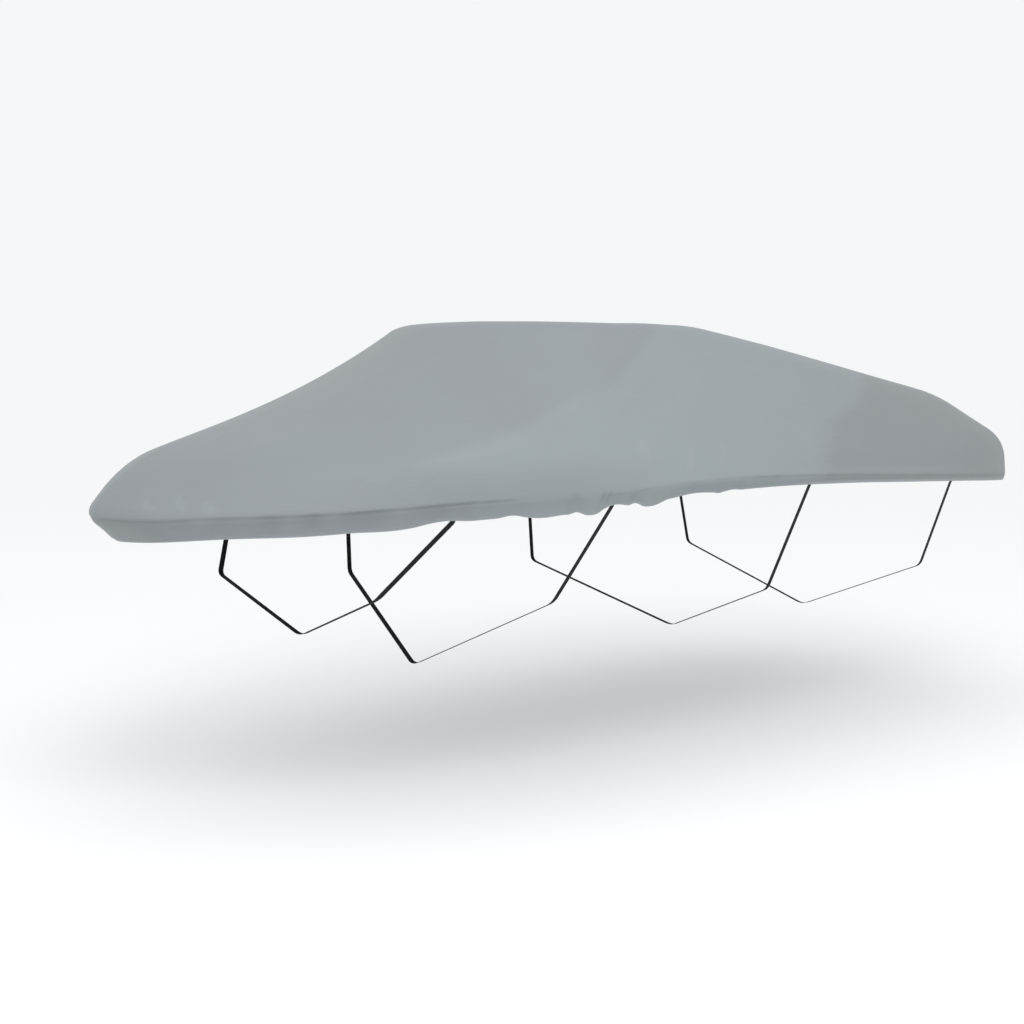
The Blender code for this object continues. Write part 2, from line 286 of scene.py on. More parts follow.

# %% [markdown]
# ### The cloth's tone
#
# From a step away the weave can't be seen, only slow changes of tone. Each vertex will carry a tone
# of its own, its painted light and shade, and the finish adds slow clouds to it, from noise in the
# cloth's own metres, and short streaks where threads are thicker. An image could do this, but it
# would blur close up, and noise doesn't.

# %% Tone of the cloth
SLUBS = (7, 240, 1)  # thick places of the threads, by metre along and across them
SLUB_TONE = {"From Min": 0.7, "From Max": 1.3, "To Min": -0.45, "To Max": 0.45}
CLOUDS = {"Scale": 2.2, "Detail": 3.0, "Roughness": 0.45}  # patches about half a metre across
CLOUD_TONE = {"From Min": 0.3, "From Max": 0.7, "To Min": -0.25, "To Max": 0.25}
CLOTH_GREY = (0.245, 0.267, 0.281, 1)
CLOTH_FINISH = {
    "Base Color": CLOTH_GREY,
    "Roughness": 0.6,
    "Sheen Weight": 0.08,
    "Sheen Roughness": 0.5,
    "Specular IOR Level": 0.35,
}

cloth, tree, shader = start_finish("coated_polyester", CLOTH_FINISH)
metres = add_node(tree, "TexCoord")
clouds = add_node(tree, "TexNoise", CLOUDS)
wire(tree, metres, "Object", clouds, "Vector")
# painted light and shade, from the tone each vertex carries
light_and_shade = add_node(tree, "Attribute", attribute_name="tone")
cloudy = add_node(tree, "MapRange", CLOUD_TONE)
wire(tree, clouds, "Fac", cloudy, "Value")
yarn = add_node(tree, "UVMap", uv_map="weave")
slubs = []
for stretch in (SLUBS, (SLUBS[1], SLUBS[0], SLUBS[2])):
    drawn_out = add_node(tree, "VectorMath", {1: stretch}, operation="MULTIPLY")
    threads = add_node(tree, "TexNoise", {"Scale": 1.0, "Detail": 2.0})
    wire(tree, yarn, "UV", drawn_out, 0)
    wire(tree, drawn_out, "Vector", threads, "Vector")
    slubs.append(threads)
both_ways = add_node(tree, "Math", operation="ADD")
wire(tree, slubs[0], "Fac", both_ways, 0)
wire(tree, slubs[1], "Fac", both_ways, 1)
uneven = add_node(tree, "MapRange", SLUB_TONE)
wire(tree, both_ways, "Value", uneven, "Value")
patchy = add_node(tree, "Math", operation="ADD")
wire(tree, light_and_shade, "Fac", patchy, 0)
wire(tree, cloudy, "Result", patchy, 1)
threaded = add_node(tree, "Math", operation="ADD")
wire(tree, patchy, "Value", threaded, 0)
wire(tree, uneven, "Result", threaded, 1)
share = add_node(tree, "MapRange", {"From Min": -1.0, "From Max": 1.0})
wire(tree, threaded, "Value", share, "Value")
print("nodes for the tone:", len(tree.nodes))

# %% [markdown]
# ### The cloth's greys
#
# The tone picks from three greys on a ramp: the stern's painted shade, the cloth's own, and the
# side's painted light. Painted shade then darkens what comes out, in the groove, on the band under
# the rail and in narrow troughs, and a painted highlight makes it paler along the hem's fold and
# narrow crests, each by its share at the vertex. Three separate finishes would meet in hard edges,
# and a ramp blends them.

# %% Greys of the cloth
# painted light on the side, painted shade at the stern and where shade falls, a painted highlight
LIT_SIDE_GREY = (0.258, 0.292, 0.303, 1)
SHADED_STERN_GREY = (0.225, 0.244, 0.257, 1)
SHADE_GREY = (0.165, 0.182, 0.192, 1)
HIGHLIGHT_GREY = (0.305, 0.332, 0.350, 1)

greys = add_node(tree, "ValToRGB")
greys.color_ramp.elements[0].color = SHADED_STERN_GREY
greys.color_ramp.elements[1].color = LIT_SIDE_GREY
greys.color_ramp.elements.new(0.5).color = CLOTH_GREY
wire(tree, share, "Result", greys, "Fac")
# painted shade, by its share at the vertex
shade_share = add_node(tree, "Attribute", attribute_name="painted_shade")
shaded = add_node(tree, "Mix", {"B": SHADE_GREY}, data_type="RGBA")
wire(tree, shade_share, "Fac", shaded, "Factor")
wire(tree, greys, "Color", shaded, "A")
# a painted highlight, by its share at the vertex
fold_highlight = add_node(tree, "Attribute", attribute_name="highlight")
paler = add_node(tree, "Mix", {"B": HIGHLIGHT_GREY}, data_type="RGBA")
wire(tree, fold_highlight, "Fac", paler, "Factor")
wire(tree, shaded, "Result", paler, "A")
wire(tree, paler, "Result", shader, "Base Color")
print("greys of the cloth:", len(greys.color_ramp.elements), "and dust and wear")

# %% [markdown]
# ### The cloth's sheen and crumple
#
# The coating shines a little more in some places than in others, which the same clouds show. Cloth
# that has been folded and stuffed into a bag is never quite smooth again: a faint bump from finer
# noise stands for that, and the weave's bump comes on top of it.

# %% Sheen and crumple
CLOUD_ROUGHNESS = {"To Min": 0.54, "To Max": 0.68}
CRUMPLE = {"Scale": 9.0, "Detail": 4.0, "Roughness": 0.5}
CRUMPLE_RELIEF = {"Strength": 0.25, "Distance": 0.004}

gloss = add_node(tree, "MapRange", CLOUD_ROUGHNESS)
wire(tree, clouds, "Fac", gloss, "Value")
wire(tree, gloss, "Result", shader, "Roughness")
crumple = add_node(tree, "TexNoise", CRUMPLE)
wire(tree, metres, "Object", crumple, "Vector")
soft = add_node(tree, "Bump", CRUMPLE_RELIEF)
wire(tree, crumple, "Fac", soft, "Height")
add_weave(tree, shader, soft)
print("nodes in the cloth's finish:", len(tree.nodes))

# %% [markdown]
# ### Webbing, thread and floor
#
# Strap webbing is a thick black tape. Its face shows fine ribs that run across it, dull between them
# and a little less dull on them. Sewing thread is polyester too, a shade lighter than the cloth, with
# a dull shine. The floor is matt white, and a faint glow of its own keeps its far part pale.

# %% Webbing, thread and floor
RIB_PITCH = 0.0016
RIB_RELIEF = {"Strength": 0.6, "Distance": 0.0003}
RIB_ROUGHNESS = {"From Min": -1.0, "From Max": 1.0, "To Min": 0.78, "To Max": 0.62}
WEBBING_FINISH = {
    "Base Color": (0.008, 0.008, 0.009, 1),
    "Roughness": 0.7,
    "Specular IOR Level": 0.2,
}
THREAD_FINISH = {"Base Color": (0.42, 0.45, 0.46, 1), "Roughness": 0.5}
FLOOR_FINISH = {
    "Base Color": (0.93, 0.93, 0.93, 1),
    "Roughness": 0.9,
    "Emission Color": (1, 1, 1, 1),
    "Emission Strength": 0.06,
}

webbing, tree, shader = start_finish("black_webbing", WEBBING_FINISH)
metres = add_node(tree, "UVMap", uv_map="weave")
parts = add_node(tree, "SeparateXYZ")
wire(tree, metres, "UV", parts, "Vector")
turns = add_node(tree, "Math", {1: 2 * math.pi / RIB_PITCH}, operation="MULTIPLY")
wave = add_node(tree, "Math", operation="SINE")
wire(tree, parts, "X", turns, 0)
wire(tree, turns, 0, wave, 0)
ribs_bump = add_node(tree, "Bump", RIB_RELIEF)
wire(tree, wave, 0, ribs_bump, "Height")
wire(tree, ribs_bump, "Normal", shader, "Normal")
worn = add_node(tree, "MapRange", RIB_ROUGHNESS)
wire(tree, wave, 0, worn, "Value")
wire(tree, worn, "Result", shader, "Roughness")

sewing_thread = start_finish("sewing_thread", THREAD_FINISH)[0]
floor_paint = start_finish("floor_paint", FLOOR_FINISH)[0]
floor.data.materials.append(floor_paint)
print("webbing ribs", RIB_PITCH * 1000, "mm apart")

# %% [markdown]
# ## The cloth, as a loft over ribs
#
# A sailmaker cuts a cover from flat panels. Modelled that way, every join would need hiding, so the
# whole cloth is one loft here: many ribs, set close along the boat, with the same number of points
# on each. First the measured ribs are filled in on a smooth curve, finer than the solid's.

# %% Ribs between the measured ones
def hump(t):
    """1 at the middle, where t is 0, fading smoothly to 0 where t is 1 or more."""
    return (1 - t * t) ** 2 if abs(t) < 1 else 0.0


def mirrored(rib):
    return rib._replace(rail_y=-rib.rail_y, edge_y=-rib.edge_y)


def between(index, t):
    """The rib a share t of the way from one row to the next."""
    before = RIBS[index - 1] if index > 0 else mirrored(RIBS[1])
    after = RIBS[index + 2] if index + 2 < len(RIBS) else mirrored(RIBS[-2])
    values = []
    for a, b, c, d in zip(before, RIBS[index], RIBS[index + 1], after):
        slope = c - a
        bend = 2 * a - 5 * b + 4 * c - d
        twist = 3 * (b - c) + d - a
        values.append(b + t * (slope + t * (bend + t * twist)) / 2)
    return Rib(*values)


ribs = []
for index, row in enumerate(RIBS[:-1]):
    ribs += [between(index, step / row.ribs) for step in range(row.ribs)]
ribs.append(RIBS[-1])
print("ribs on each side:", len(ribs))

# %% [markdown]
# ### Ripples of the hem
#
# A cord in the hem draws it tight, but it doesn't pull evenly, so small ripples lie between the large
# gathers. There are too many for a table, and a slow noise makes them. Straps hold the hem flat, so
# the ripples die out next to a strap. They die out at the bow and the stern too, because both sides
# of the cover have to meet there in one rib, with no slit between them.

# %% Ripples of the hem
RIPPLE = 0.0032
RIPPLE_LEAST = 0.25  # share of it along the tight parts of the hem
RIPPLE_SLACK = (1.95, 0.75)  # middle of the slack part, and how far it reaches each way
RIPPLE_NOISE = (13, 4.7, 0.3)  # how fast it changes along the hem, between the sides, and a start
HELD_REACH = 0.09  # how far each way the hem is held flat
STRAP_HEMS = (1.13, 1.92, 3.27, 4.59)  # where a strap leaves the hem, aft of the bow
HEM_ENDS = (RIBS[0].rail_x, RIBS[-1].rail_x)  # where the two sides meet


def slack(x, held_at):
    """0 where the hem is held flat, 1 where it's free."""
    return 1 - max(hump((x - held) / HELD_REACH) for held in held_at)


def noise_along(x, side, steps):
    """Noise from -1 to 1 along one side of the cover."""
    return noise.noise(Vector((steps[0] * x, steps[1] * side, steps[2])))


def ripple(x, side):
    """How far a small ripple pushes the hem out."""
    middle, reach = RIPPLE_SLACK
    loose = RIPPLE_LEAST + (1 - RIPPLE_LEAST) * hump((x - middle) / reach)
    free = slack(x, STRAP_HEMS + HEM_ENDS)
    return RIPPLE * loose * free * noise_along(x, side, RIPPLE_NOISE)


print("ripples of the hem up to", round(RIPPLE * 1000, 1), "mm")

# %% [markdown]
# ### The hem's band
#
# Below the rail the cloth turns in. On each rib the hem's edge lies in and down from the rail by that
# rib's own measures, and where the cord has slipped, a gather from the table lifts it or pushes it
# out. The way in is square to the rail as it curves round the boat. Straight towards the middle would
# be simpler, but at the bow that runs along the rail, and the band would have no slope there.

# %% The hem's band
def inward(index):
    """The level direction that points in from the port rail, square to it."""
    before = ribs[index - 1] if index > 0 else mirrored(ribs[1])
    after = ribs[index + 1] if index + 1 < len(ribs) else mirrored(ribs[-2])
    return Vector((after.rail_y - before.rail_y, after.rail_x - before.rail_x, 0)).normalized()


def hem_band(index, side):
    """The hem's edge, the rail above it, and the direction in, at one rib of the port half."""
    rib = ribs[index]
    inwards = inward(index)
    rail = Vector((rib.rail_x, -rib.rail_y, rib.rail_height))
    lift = 0.0
    pucker = ripple(rib.rail_x, side)
    for gather in GATHERS:
        if gather.side == side:
            share = hump((rib.rail_x - gather.x) / gather.reach)
            lift += gather.lift * share
            pucker += gather.pucker * share
    hem = rail + inwards * (rib.hem_in - pucker) - Vector((0, 0, rib.hem_drop - lift))
    return hem, rail, inwards


bow_hem, bow_rail = hem_band(0, PORT)[:2]
print("the hem's band at the bow is", round((bow_rail - bow_hem).length, 3), "m high")

# %% [markdown]
# ### The groove at the cord
#
# Under the rail the cord pulls a shallow groove into the cloth, deep towards the bow and broken up
# amidships, and its shade is painted darker into the cloth's colour. It could be sculpted, but a table
# of its place, its depth and its painted shade is easier to change. A noise makes it deeper and
# shallower by turns, as stitches and slack do.

# %% The groove
GROOVE_REACH = 0.013
GROOVE_UNEVEN = 0.55
GROOVE_NOISE = (14, 2.6, 1.1)
DEEPEST = 0.004

# below is how far it lies under the rail, and the last two columns are the painted shade in the
# groove and at the hem's edge.
Groove = namedtuple("Groove", "x below depth dust hem_dust")
GROOVES = (
    Groove(-0.05, 0.018, 0.0025, 0.40, 0.22),
    Groove(0.14, 0.012, 0.0030, 0.40, 0.20),
    Groove(0.25, 0.003, 0.0034, 0.52, 0.16),
    Groove(0.50, 0.006, 0.0035, 0.60, 0.15),
    Groove(0.75, 0.010, 0.0036, 0.60, 0.15),
    Groove(0.95, 0.007, 0.0040, 0.62, 0.18),
    Groove(1.20, -0.002, 0.0040, 0.58, 0.10),
    Groove(1.38, -0.003, 0.0032, 0.42, 0.12),
    Groove(1.45, -0.004, 0.0010, 0.20, 0.12),
    Groove(1.66, -0.004, 0.0008, 0.20, 0.15),
    Groove(1.72, -0.003, 0.0018, 0.28, 0.18),
    Groove(1.78, 0.004, 0.0008, 0.24, 0.20),
    Groove(1.93, 0.014, 0.0018, 0.28, 0.22),
    Groove(2.00, 0.012, 0.0008, 0.18, 0.20),
    Groove(2.08, 0.006, 0.0018, 0.30, 0.22),
    Groove(2.20, 0.004, 0.0005, 0.20, 0.25),
    Groove(2.60, -0.004, 0.0008, 0.25, 0.35),
    Groove(2.90, 0.000, 0.0020, 0.25, 0.35),
    Groove(3.60, 0.000, 0.0026, 0.32, 0.24),
    Groove(4.60, 0.002, 0.0024, 0.32, 0.10),
    Groove(5.40, 0.002, 0.0016, 0.32, 0.10),
)


def groove_at(x, side):
    """The groove at x: on straight lines between the rows, and uneven."""
    index = next(number for number, row in enumerate(GROOVES) if x <= row.x)
    fore, aft = GROOVES[index - 1], GROOVES[index]
    t = (x - fore.x) / (aft.x - fore.x)
    groove = Groove(*[a + (b - a) * t for a, b in zip(fore, aft)])
    pull = 1 + GROOVE_UNEVEN * slack(x, HEM_ENDS) * noise_along(x, side, GROOVE_NOISE)
    return groove._replace(depth=groove.depth * pull, dust=groove.dust * pull)


print("groove: rows", len(GROOVES), "and at most", DEEPEST * 1000, "mm before the noise")

# %% [markdown]
# ### Bends and the fold
#
# Stretched cloth is nearly straight between the things that carry it, and bends softly over each of
# them. So a line runs through a few corners, and each is rounded off by a short curve. A spline
# through the corners would round them too, but it would also bulge along the runs between them. The
# hem is turned up inside, round a fold so tight that its two layers touch.

# %% Bends and the fold
MOST_OF_RUN = 0.6  # no bend takes more of a straight run than this
HEM_TURN = 0.018  # height of the turned hem inside
FOLD = 0.00105  # radius of its fold, so that two layers of cloth lie against each other
TURN_STEPS = 3
FOLD_STEPS = 4


def straight(start, end, steps):
    return [start.lerp(end, step / steps) for step in range(1, steps + 1)]


def rounded(corners, reaches, run_steps, bend_steps):
    """Points along a line through the corners, with each inner corner rounded off."""
    points = [corners[0]]
    for index, reach in enumerate(reaches):
        corner = corners[index + 1]
        back = corners[index] - corner
        ahead = corners[index + 2] - corner
        into = corner + back.normalized() * min(reach, MOST_OF_RUN * back.length)
        out = corner + ahead.normalized() * min(reach, MOST_OF_RUN * ahead.length)
        points += straight(points[-1], into, run_steps[index])
        for step in range(1, bend_steps[index] + 1):
            t = step / bend_steps[index]
            points.append(into.lerp(corner, t).lerp(corner.lerp(out, t), t))
    return points + straight(points[-1], corners[-1], run_steps[-1])


def turned_hem(hem, up, within):
    """The turned hem of one rib, from its raw edge down and round the fold."""
    middle = hem + (up + within) * FOLD
    raw_edge = middle + within * FOLD + up * HEM_TURN
    points = [raw_edge] + straight(raw_edge, middle + within * FOLD, TURN_STEPS)
    for step in range(1, FOLD_STEPS):
        turn = math.pi * (1 - step / FOLD_STEPS)
        points.append(middle - within * FOLD * math.cos(turn) - up * FOLD * math.sin(turn))
    return points


print("turned hem:", HEM_TURN * 1000, "mm high inside")

# %% [markdown]
# ### One rib
#
# A rib starts inside, at the top of the turned hem, goes down and round the fold, and then up the
# outside: over the rail, over a soft knee, up the side to the top edge and in to the spine. The
# groove and the sag only move points that are already there. That way every rib has the same number
# of points, and the loft needs nothing to match one rib to the next.

# %% One rib
RAIL_BEND = 0.5  # how far a bend reaches, as a share of the rib's own measures there
KNEE_BEND = 0.5
SAG_LEAN = 1.25  # above 1, the side sags most in its upper half
RUN_STEPS = (9, 4, 30, 5)  # steps along the straight runs, from the hem to the spine
BEND_STEPS = (10, 7, 6)  # steps round the bends between them


def rib_points(index, side):
    """Every point of one rib, from the hem's raw edge to the spine."""
    rib = ribs[index]
    hem, rail, inwards = hem_band(index, side)
    knee = rail + inwards * rib.knee_in + Vector((0, 0, rib.knee_rise))
    edge = Vector((rib.edge_x, -rib.edge_y, rib.edge_height))
    spine = Vector((rib.spine_x, 0, rib.spine_height))
    up = (rail - hem).normalized()
    within = up.cross(Vector((0, 0, 1))).cross(up).normalized()
    within = within if within.dot(inwards) > 0 else -within
    reaches = (RAIL_BEND * rib.hem_in, KNEE_BEND * (rib.knee_in + rib.knee_rise), rib.edge_bend)
    outside = rounded((hem + up * FOLD, rail, knee, edge, spine), reaches, RUN_STEPS, BEND_STEPS)
    groove = groove_at(rib.rail_x, side)
    for point in outside[1 : sum(RUN_STEPS[:2]) + BEND_STEPS[0]]:
        point += within * groove.depth * hump((rail.z - groove.below - point.z) / GROOVE_REACH)
    above_knee = sum(RUN_STEPS[:2]) + sum(BEND_STEPS[:2])
    for step in range(1, RUN_STEPS[2]):
        t = (step / RUN_STEPS[2]) ** SAG_LEAN
        outside[above_knee + step].z -= 4 * t * (1 - t) * rib.sag
    return [place(p.x, -side * p.y, p.z) for p in turned_hem(hem, up, within) + outside]


print("points on a rib:", len(rib_points(0, PORT)))

# %% [markdown]
# ### Painted shade and highlight
#
# Painted shade darkens the groove and the band of cloth below it, which faces down under the rail,
# and a faint darkening lies above the rail amidships. A painted highlight makes the hem's folded
# edge pale: a thin line forward, and a wider one aft, where the hem lies flat. Both could be painted
# as an image, but they are worked out here from a vertex's height and place, so they follow the hem
# wherever its gathers take it.

# %% Painted shade and highlight
HIGHLIGHT_REACH = (0.008, 0.022)  # how far up from its fold the hem's painted highlight reaches, forward and aft
HIGHLIGHT_AFT = (3.10, 0.35)  # where that starts to grow, and over what length
DARKENING = 0.34  # a faint darkening above the rail, amidships
DARKENING_REACH = 0.20
DARKENING_AT = (1.45, 0.90)  # its middle, aft of the bow, and how far it reaches each way


def dust(rib, side, height, hem_height):
    """How much painted shade darkens the cloth at a height, most of all in the groove under the rail."""
    groove = groove_at(rib.rail_x, side)
    groove_height = rib.rail_height - groove.below - MOUNT_HEIGHT
    above = (height - groove_height) / GROOVE_REACH
    share = min(1, (height - hem_height) / (groove_height - hem_height))
    band = groove.hem_dust + (groove.dust - groove.hem_dust) * share
    middle, reach = DARKENING_AT
    darkening = DARKENING * hump((height - groove_height) / DARKENING_REACH) * hump((rib.rail_x - middle) / reach)
    return max(hump(above) * groove.depth / DEEPEST, band * (hump(above) if above > 0 else 1), darkening)


def highlight_reach(x):
    """How far up from its fold the hem's painted highlight reaches at x."""
    grown = min(1, max(0, (x - HIGHLIGHT_AFT[0]) / HIGHLIGHT_AFT[1]))
    return HIGHLIGHT_REACH[0] + (HIGHLIGHT_REACH[1] - HIGHLIGHT_REACH[0]) * grown


print("hem rubbed pale up to", max(HIGHLIGHT_REACH) * 1000, "mm from its fold")

# %% [markdown]
# ### Laying the loft
#
# A flat grid has the right number of rows and columns, so each of its vertices only has to move to
# its point on a rib: a column for each rib, from the bow to the stern and back along the other side.
# While the grid is still open, the lengths along the ribs and across them become its UV map, in
# metres, so that the weave keeps its size. Then the doubled vertices at the bow and along the spine
# merge. The stern has none, because it is a single rib.

# %% Laying the loft
SAME_PLACE = 0.00001

last = len(ribs) - 1
loft = [rib_points(index, PORT) for index in range(last + 1)]
loft += [rib_points(index, STARBOARD) for index in reversed(range(last))]
columns = len(loft) - 1
rows = len(loft[0]) - 1
hem_row = TURN_STEPS + FOLD_STEPS

cloth_mesh = bmesh.new()
bmesh.ops.create_grid(cloth_mesh, x_segments=columns, y_segments=rows, size=0.5)
weave_map = cloth_mesh.loops.layers.uv.new("weave")
# painted shade where shade falls, and a painted highlight along the hem's fold and narrow crests
painted_shade = cloth_mesh.verts.layers.float.new("painted_shade")
highlight = cloth_mesh.verts.layers.float.new("highlight")
across = [[0.0] * (rows + 1)]
for here, before in zip(loft[1:], loft):
    across.append([length + (a - b).length for length, a, b in zip(across[-1], here, before)])
for vertex in cloth_mesh.verts:
    column = round((vertex.co.x + 0.5) * columns)
    row = round((vertex.co.y + 0.5) * rows)
    vertex.co = loft[column][row]
    rib = ribs[min(column, columns - column)]
    if row >= hem_row:
        side = PORT if column <= last else STARBOARD
        vertex[painted_shade] = dust(rib, side, vertex.co.z, loft[column][hem_row].z)
    vertex[highlight] = hump((vertex.co.z - loft[column][hem_row].z) / highlight_reach(rib.rail_x))
    points = loft[column][: row + 1]
    up_rib = sum((a - b).length for a, b in zip(points[1:], points))
    for loop in vertex.link_loops:
        loop[weave_map].uv = (across[column][row], up_rib)
bmesh.ops.remove_doubles(cloth_mesh, verts=cloth_mesh.verts, dist=SAME_PLACE)
cloth_mesh.normal_update()
print("faces of the cloth:", len(cloth_mesh.faces))

# %% [markdown]
# ### Creases
#
# Pulled over a boat, cloth keeps a few soft creases where it runs between two supports. The main one
# drops from the windshield's corner and turns forward along the side. Short ones stand over the hem,
# at the bow and amidships. A simulation would make creases of its own, but a table puts each one
# where it belongs: the ends of its line, its width, and how far it rises.

# %% Creases
# The width runs from the crest to the foot on each side. A trough has a rise below 0.
Crease = namedtuple("Crease", "side fore_x fore_height aft_x aft_height width rise")
CREASES = (
    Crease(PORT, 0.98, 1.44, 1.75, 1.61, 0.11, 0.006),
    Crease(PORT, 0.96, 1.430, 1.50, 1.535, 0.045, 0.005),
    Crease(PORT, 1.18, 1.475, 1.72, 1.600, 0.050, 0.004),
    Crease(PORT, 1.45, 1.525, 2.05, 1.755, 0.050, 0.005),
    Crease(PORT, 1.60, 1.56, 2.57, 2.08, 0.11, 0.010),
    Crease(PORT, 1.95, 1.50, 2.70, 1.90, 0.13, -0.006),
    Crease(PORT, 2.80, 1.46, 3.30, 1.74, 0.12, 0.004),
    Crease(PORT, 3.05, 1.358, 4.85, 1.296, 0.045, 0.0012),
    Crease(PORT, 0.12, 1.26, 0.13, 1.33, 0.020, 0.002),
    Crease(PORT, 0.21, 1.26, 0.21, 1.34, 0.018, 0.002),
    Crease(PORT, 0.29, 1.25, 0.28, 1.32, 0.022, 0.002),
    Crease(PORT, 1.64, 1.258, 1.72, 1.305, 0.040, -0.0014),
    Crease(PORT, 1.832, 1.252, 1.842, 1.318, 0.018, -0.003),
    Crease(PORT, 1.866, 1.250, 1.880, 1.322, 0.017, -0.003),
    Crease(PORT, 2.000, 1.260, 2.025, 1.302, 0.022, -0.002),
    Crease(PORT, 2.09, 1.42, 2.16, 1.55, 0.050, 0.003),
    Crease(PORT, 2.36, 1.36, 2.42, 1.50, 0.030, 0.003),
    Crease(PORT, 2.58, 1.38, 2.64, 1.50, 0.030, 0.003),
    Crease(STARBOARD, 1.10, 1.47, 1.75, 1.60, 0.12, 0.006),
    Crease(STARBOARD, 0.17, 1.26, 0.18, 1.34, 0.020, 0.002),
    Crease(STARBOARD, 0.26, 1.25, 0.26, 1.33, 0.024, 0.002),
    Crease(STARBOARD, 1.15, 1.475, 1.70, 1.590, 0.050, 0.005),
    Crease(STARBOARD, 1.45, 1.530, 2.02, 1.740, 0.055, 0.004),
    Crease(STARBOARD, 1.70, 1.60, 2.52, 2.04, 0.11, 0.009),
    Crease(STARBOARD, 2.10, 1.52, 2.80, 1.86, 0.13, -0.006),
    Crease(STARBOARD, 3.15, 1.355, 4.95, 1.293, 0.045, 0.0012),
    Crease(STARBOARD, 1.76, 1.27, 1.79, 1.33, 0.022, -0.003),
    Crease(STARBOARD, 2.18, 1.27, 2.20, 1.34, 0.020, -0.003),
    Crease(STARBOARD, 1.93, 1.38, 1.99, 1.52, 0.035, 0.003),
    Crease(STARBOARD, 2.23, 1.37, 2.26, 1.49, 0.030, 0.003),
    Crease(STARBOARD, 2.70, 1.37, 2.73, 1.51, 0.040, 0.003),
)
print("creases:", len(CREASES), "of which troughs:", sum(crease.rise < 0 for crease in CREASES))

# %% [markdown]
# ### Raising the creases
#
# Each crease moves the cloth a few millimetres along its own normals, most in its middle, and a slow
# noise keeps the broad panels from looking machined. Bump in the finish would be quicker, but it
# would leave the outline and the mesh smooth. A narrow ridge gets a painted highlight along its
# crest, such as the long low one over the rail aft, and a narrow trough between gathers gets painted
# shade.

# %% Raising the creases
SHARP_CREASE = 0.06  # a crease narrower than this gets a painted highlight, or painted shade
CREST_HIGHLIGHT = 160  # for each metre of a ridge's height
MOST_HIGHLIGHT = 0.32
TROUGH_SHADE = 140  # for each metre of a trough's depth
UNEVEN = 0.0015
UNEVEN_NOISE = 2.3
UNEVEN_FROM = (1.36, 0.15)  # height where it starts, and over what height it grows

for crease in CREASES:
    fore = Vector((crease.fore_x - MOUNT_X, crease.fore_height - MOUNT_HEIGHT))
    run = Vector((crease.aft_x - MOUNT_X, crease.aft_height - MOUNT_HEIGHT)) - fore
    for vertex in cloth_mesh.verts:
        if vertex.co.y * crease.side > 0:
            spot = Vector((vertex.co.x, vertex.co.z)) - fore
            along = spot.dot(run) / run.length_squared
            off = abs(spot.x * run.y - spot.y * run.x) / run.length
            share = hump(2 * along - 1) ** 0.5 * hump(off / crease.width)
            vertex.co += vertex.normal * crease.rise * share
            # a narrow ridge gets a painted highlight on its crest, a narrow trough painted shade
            if crease.width < SHARP_CREASE and crease.rise > 0:
                vertex[highlight] = max(vertex[highlight], min(MOST_HIGHLIGHT, CREST_HIGHLIGHT * crease.rise) * share)
            elif crease.width < SHARP_CREASE:
                vertex[painted_shade] = min(1, vertex[painted_shade] - TROUGH_SHADE * crease.rise * share)
for vertex in cloth_mesh.verts:
    above_rail = min(1, max(0, (vertex.co.z + MOUNT_HEIGHT - UNEVEN_FROM[0]) / UNEVEN_FROM[1]))
    vertex.co += vertex.normal * UNEVEN * above_rail * noise.noise(vertex.co * UNEVEN_NOISE)
cloth_mesh.normal_update()
print("rubbed at most", round(max(v[highlight] for v in cloth_mesh.verts), 2))

# %% [markdown]
# ### Borders of the painted light and shade
#
# The cover isn't one grey all over. Painted light makes the side below the long crease lighter,
# where it faces up a little more and catches more light, and painted shade makes the stern darker.
# Neither border is a straight line on the cloth, so each is a row of places, with straight lines
# between them.

# %% Borders of the painted light and shade
CREASE_LINE = (  # places aft of the bow, each with the crease's height there
    (1.06, 1.455),
    (1.41, 1.516),
    (1.67, 1.586),
    (1.86, 1.669),
    (2.11, 1.787),
    (2.28, 1.900),
    (2.47, 2.020),
    (2.60, 2.100),
)
STERN_LINE = (  # heights, each with the place where the stern's painted shade starts
    (1.30, 3.18),
    (1.45, 3.28),
    (1.59, 3.40),
    (1.66, 3.66),
    (1.78, 3.92),
    (2.00, 4.20),
)


def on_line(line, where):
    """The second number of a line's points, read at a value of the first."""
    for (start, low), (end, high) in zip(line, line[1:]):
        if where <= end:
            return low + (high - low) * (where - start) / (end - start)
    return line[-1][1]


print("at 1.5 m up the dark stern starts", round(on_line(STERN_LINE, 1.5), 2), "m aft of the bow")

# %% [markdown]
# ### Tone at each vertex
#
# Each vertex gets a tone from -1 to 1 by where it lies and how far it faces up, and the finish mixes
# its greys by that tone: painted light on the side below the crease and on the top aft, painted shade
# at the stern. Painting the tones by hand would do as well, but worked out from the borders they
# follow when a border moves. Every change is soft, because light draws no sharp line on a curved
# cloth.

# %% Tone at each vertex
WOBBLE = 0.06
WOBBLE_NOISE = 3.1
LESS_LIT = 0.35
TOP_TONE = 0.35

# Where each change of tone starts, and over what length.
CREASE_EDGE = (-0.04, 0.08)  # below the crease
STERN_EDGE = (0, 0.30)  # aft of the stern's line
LIT_FROM = (1.00, 0.40)
LESS_LIT_FROM = (2.70, 1.20)
TOP_FROM = (1.90, 0.60)
TOP_AFT_OF = (1.70, 0.20)
TOP_FACING = (0.88, 0.08)  # by how far the cloth faces up


def fade(value, start, length):
    """0 up to the start, and 1 from a length further on, with soft ends."""
    t = min(1, max(0, (value - start) / length))
    return t * t * (3 - 2 * t)


